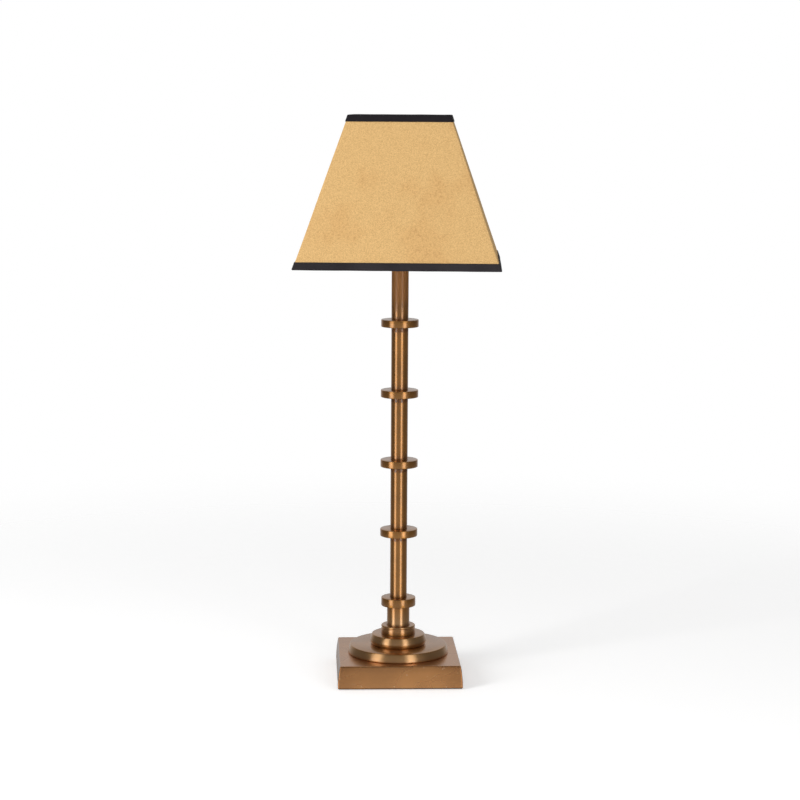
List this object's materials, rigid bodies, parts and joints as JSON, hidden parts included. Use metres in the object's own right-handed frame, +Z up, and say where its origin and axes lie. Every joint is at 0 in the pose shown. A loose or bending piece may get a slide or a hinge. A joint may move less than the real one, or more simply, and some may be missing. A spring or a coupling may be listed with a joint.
{
  "type": "table lamp",
  "caption": "Candlestick table lamp: square plinth, turned brass stem with collars, screw lampholder, candle bulb and square tapered cloth shade on a carrier.",
  "frame": {"origin": "on the table, under the middle of the foot", "axes": "+Z up along the stem, front of the foot towards -Y, +X to the right seen from the front"},
  "size_m": [0.2036, 0.2036, 0.5323],
  "materials": {
    "brass": "antique brass, satin lacquer",
    "inner_brass": "bright brass, turned",
    "steel": "zinc plated",
    "ballast_iron": "rough casting, black",
    "board": "hardboard",
    "felt": "dark felt",
    "black_plastic": "matt black",
    "holder_plastic": "off-white thermoplastic",
    "ceramic": "unglazed white",
    "white_metal": "white stove enamel",
    "cover_fabric": "gold suede-like cloth",
    "lining": "white stiff lining",
    "trim": "black ribbon",
    "bulb_glass": "opal white",
    "cap_metal": "satin",
    "black_glass": "black vitrite"
  },
  "bodies": {
    "lamp_stand": {"felt_pad": "felt", "base_board": "board", "plinth": "brass", "ballast_weight": "ballast_iron", "inlet_bush": "black_plastic", "threaded_rod": "steel", "rod_nut": "steel", "rod_washer": "steel", "base_disc_large": "brass", "base_disc_small": "brass", "base_collar": "brass", "stem_neck": "brass", "stem_seat": "brass", "holder_cap": "holder_plastic", "holder_grub_screw": "steel", "holder_sleeve": "holder_plastic", "terminal_block": "ceramic", "terminal_screws": "inner_brass", "insulating_liner": "ceramic", "screw_shell": "inner_brass", "centre_contact": "inner_brass", "stem_collar_1": "brass", "stem_tube_1": "brass", "stem_collar_2": "brass", "stem_tube_2": "brass", "stem_collar_3": "brass", "stem_tube_3": "brass", "stem_collar_4": "brass", "stem_tube_4": "brass", "stem_collar_5": "brass", "stem_tube_5": "brass"},
    "carrier": {"carrier_base": "white_metal", "carrier_wires": "white_metal", "carrier_seat": "white_metal"},
    "shade": {"fitter_ring": "white_metal", "fitter_arms": "white_metal", "shade_frame_top": "white_metal", "shade_frame_bottom": "white_metal", "shade_trim_bottom": "trim", "shade_trim_top": "trim", "shade_cover_front": "cover_fabric", "shade_cover_right": "cover_fabric", "shade_cover_back": "cover_fabric", "shade_cover_left": "cover_fabric", "shade_lining_front": "lining", "shade_lining_right": "lining", "shade_lining_back": "lining", "shade_lining_left": "lining"},
    "bulb": {"bulb_glass": "bulb_glass", "bulb_cap": "cap_metal", "bulb_insulator": "black_glass", "bulb_contact": "cap_metal"},
    "washer": {"clamp_washer": "steel"},
    "ring": {"clamp_ring": "holder_plastic"}
  },
  "joints": [
    {"name": "carrier_turn", "type": "hinge", "parent": "lamp_stand", "child": "carrier", "pos_m": [0, 0, 0.4164], "axis": [0, 0, 1], "continuous": true},
    {"name": "shade_lift", "type": "slide", "parent": "carrier", "child": "shade", "axis": [0, 0, 1], "range_m": [0, 0.14]},
    {"name": "bulb_lift", "type": "slide", "parent": "lamp_stand", "child": "bulb", "axis": [0, 0, 1], "range_m": [0, 0.125]},
    {"name": "ring_rise", "type": "slide", "parent": "lamp_stand", "child": "washer", "axis": [0, 0, 1], "range_m": [0, 0.02]},
    {"name": "ring_turn", "type": "hinge", "parent": "washer", "child": "ring", "pos_m": [0, 0, 0.4211], "axis": [0, 0, 1], "range_deg": [0, 3600]}
  ],
  "couplings": [
    {"joint": "ring_rise", "follows": "ring_turn", "m_per_rad": 0.0003183}
  ]
}
